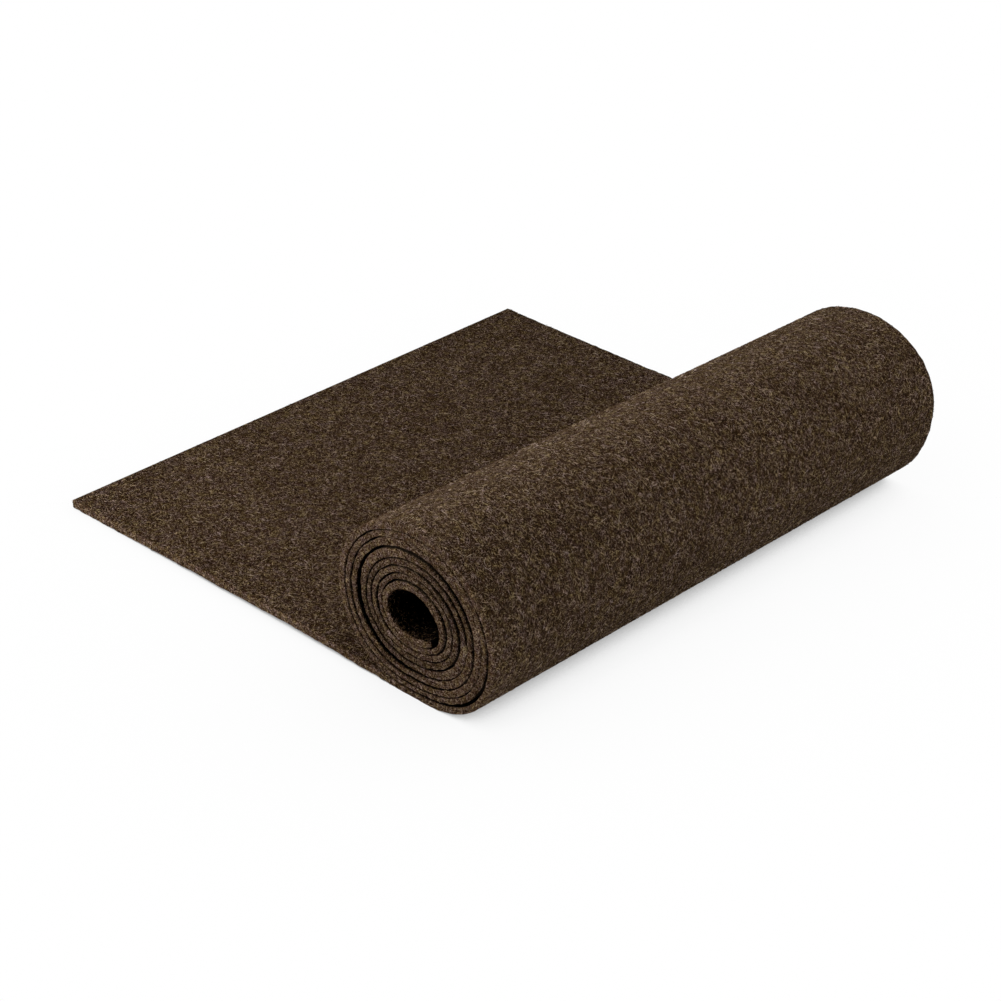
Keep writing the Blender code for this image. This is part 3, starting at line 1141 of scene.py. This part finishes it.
# %% The tangle on the run-out and on the roll
SKIN_SHARES = (0.32, 0.35, 0.235, 0.095)
SKIN_TINTS = (0.10, 0.36, 0.64, 0.90)
PATCH_TINT = 0.04
PATCH_CELL = 14 * MM
SKIN_MARGIN = 0.4 * MM
FIRST_FIBRES_DEG = -78
RUN_OUT_FIBRES = 20000
ROLL_FIBRES = 28000
FIBRE_LENGTHS = (1.1 * MM, 3.3 * MM)
FIBRE_RADII = (0.085 * MM, 0.15 * MM)
FIBRE_RISE = (0.02 * MM, 0.22 * MM)


def on_run_out(along, across, lift):
    return on_felt("inner", along, across, lift)


def on_roll(along, across, lift):
    return on_felt("outer", along, across, lift)


def skin_tints(draw, first, second):
    patches = PATCH_TINT * soft_noise(first, second, PATCH_CELL, PATCH_CELL, 21)
    return mixed_tints(draw, len(first), SKIN_SHARES, SKIN_TINTS) + patches


pieces = []
half = FELT_WIDTH / 2
for side, low, high in (("near", SKIN_MARGIN, half), ("far", half, FELT_WIDTH - SKIN_MARGIN)):
    pieces.append(lay_fibres(
        "run_out_fibres_" + side, fibre_model, on_run_out, RUN_OUT_FIBRES,
        over((SKIN_MARGIN, ROLL_FOOT), (low, high)), FIBRE_LENGTHS, FIBRE_RADII, FIBRE_RISE, skin_tints,
        seed=101 + len(pieces),
    ))
    pieces.append(lay_fibres(
        "roll_fibres_" + side, fibre_model, on_roll, ROLL_FIBRES,
        over((along_at(FIRST_FIBRES_DEG), along_at(LAST_OPEN_DEG)), (low, high)),
        FIBRE_LENGTHS, FIBRE_RADII, FIBRE_RISE, skin_tints,
        seed=101 + len(pieces), material=outside_fibre_material,
    ))

# %% [markdown]
# The cut ends are fuzzy too: shorter fibres lie in the cut, thin enough to leave the gap lines open. They
# are laid along the strip and through its thickness, so they follow every turn.

# %% The fibres of the cut ends
CUT_SHARES = (0.34, 0.29, 0.26, 0.11)
CUT_TINTS = (0.08, 0.36, 0.62, 0.86)
CUT_FIBRES = 11000
CUT_BAND = (0.1 * RUN_OUT_THICKNESS, 0.9 * RUN_OUT_THICKNESS)
CUT_FIBRE_LENGTHS = (0.8 * MM, 2.1 * MM)
CUT_FIBRE_RADII = (0.085 * MM, 0.135 * MM)
CUT_FIBRE_RISE = (0.0, 0.18 * MM)


def on_near_cut(along, through, lift):
    return on_cut("near", along, through / RUN_OUT_THICKNESS, lift)


def on_far_cut(along, through, lift):
    return on_cut("far", along, through / RUN_OUT_THICKNESS, lift)


def cut_tints(draw, first, second):
    return mixed_tints(draw, len(first), CUT_SHARES, CUT_TINTS)


for side, on_this_cut in (("near", on_near_cut), ("far", on_far_cut)):
    pieces.append(lay_fibres(
        "cut_fibres_" + side, fibre_model, on_this_cut, CUT_FIBRES,
        over((0, FELT_LENGTH), CUT_BAND), CUT_FIBRE_LENGTHS, CUT_FIBRE_RADII, CUT_FIBRE_RISE, cut_tints,
        seed=131 + len(pieces),
    ))

# %% [markdown]
# One pale tuft has sprung out of the near cut, on the right between two turns. A few of the long fibres,
# strongly curled and dropped on one small patch, make it.

# %% A tuft of pale wool on the near cut
TUFT_WINDING_DEG = 1434
TUFT_WIDTH = 1.8 * MM
TUFT_FIBRES = 20
TUFT_LENGTHS = (1.8 * MM, 3.6 * MM)
TUFT_RADII = (0.1 * MM, 0.14 * MM)
TUFT_RISE = (0.3 * MM, 0.8 * MM)
TUFT_TINTS = (0.75, 1.0)
TUFT_CURL = 0.8


def in_tuft(draw, count):
    """Starts in a small patch beside one of the gap lines."""
    along = along_at(TUFT_WINDING_DEG) + draw.normal(0, TUFT_WIDTH / 2, count)
    return along, draw.normal(0, TUFT_WIDTH / 3, count)


pieces.append(lay_fibres(
    "tuft_fibres_near", hair_model, on_near_cut, TUFT_FIBRES,
    in_tuft, TUFT_LENGTHS, TUFT_RADII, TUFT_RISE, tints_between(*TUFT_TINTS), seed=171, curl=TUFT_CURL,
))

# %% [markdown]
# Just inside the hollow the light still catches single fibres on the innermost turn. They thin out within
# a centimetre, and behind them the hollow is dark: little light gets in, and painted shade darkens the felt
# there.

# %% The fibres just inside the hollow
HOLLOW_FIBRES = 700
HOLLOW_TURN = 76 * MM
HOLLOW_FADE = 5 * MM
HOLLOW_MARGIN = 0.4 * MM
HOLLOW_LENGTHS = (1.2 * MM, 3.2 * MM)
HOLLOW_RADII = (0.08 * MM, 0.13 * MM)
HOLLOW_RISE = (0.05 * MM, 0.5 * MM)
HOLLOW_TINTS = (0.05, 0.6)


def in_hollow(near_side):
    """Starts on the innermost turn, fewer and fewer away from the cut."""
    def starts(draw, count):
        from_cut = np.clip(draw.exponential(HOLLOW_FADE, count), HOLLOW_MARGIN, FELT_WIDTH / 3)
        along = FELT_LENGTH - draw.uniform(0.01, 1, count) * HOLLOW_TURN
        return along, from_cut if near_side else FELT_WIDTH - from_cut
    return starts


for side in ("near", "far"):
    pieces.append(lay_fibres(
        "hollow_fibres_" + side, fibre_model, on_run_out, HOLLOW_FIBRES,
        in_hollow(side == "near"), HOLLOW_LENGTHS, HOLLOW_RADII, HOLLOW_RISE, tints_between(*HOLLOW_TINTS),
        seed=161 + len(pieces),
    ))

# %% [markdown]
# Last come the single pale hairs that catch the eye on dark felt. They use the long fibre, lie a little
# higher than the tangle, and keep clear of the cuts.

# %% A few long pale hairs
HAIRS_ON_RUN_OUT = 420
HAIRS_ON_ROLL = 700
HAIR_MARGIN = 8 * MM
HAIRS_ACROSS = (HAIR_MARGIN, FELT_WIDTH - HAIR_MARGIN)
HAIRS_ON_ROLL_DEG = (-60, 255)
HAIR_LENGTHS = (2 * MM, 6.5 * MM)
HAIR_RADII = (0.085 * MM, 0.12 * MM)
HAIR_RISE = (0.18 * MM, 0.32 * MM)
HAIR_TINTS = (0.7, 1.1)

pieces.append(lay_fibres(
    "stray_hairs_run_out", hair_model, on_run_out, HAIRS_ON_RUN_OUT,
    over((HAIR_MARGIN, ROLL_FOOT), HAIRS_ACROSS),
    HAIR_LENGTHS, HAIR_RADII, HAIR_RISE, tints_between(*HAIR_TINTS), seed=151,
))
pieces.append(lay_fibres(
    "stray_hairs_roll", hair_model, on_roll, HAIRS_ON_ROLL,
    over([along_at(winding_deg) for winding_deg in HAIRS_ON_ROLL_DEG], HAIRS_ACROSS),
    HAIR_LENGTHS, HAIR_RADII, HAIR_RISE, tints_between(*HAIR_TINTS), seed=152,
    material=outside_fibre_material,
))
bpy.data.objects.remove(fibre_model)
bpy.data.objects.remove(hair_model)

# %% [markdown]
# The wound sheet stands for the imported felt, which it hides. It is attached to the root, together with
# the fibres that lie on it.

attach(felt, "root")
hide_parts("felt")
print("pieces", [felt.name] + [piece.name for piece in pieces])
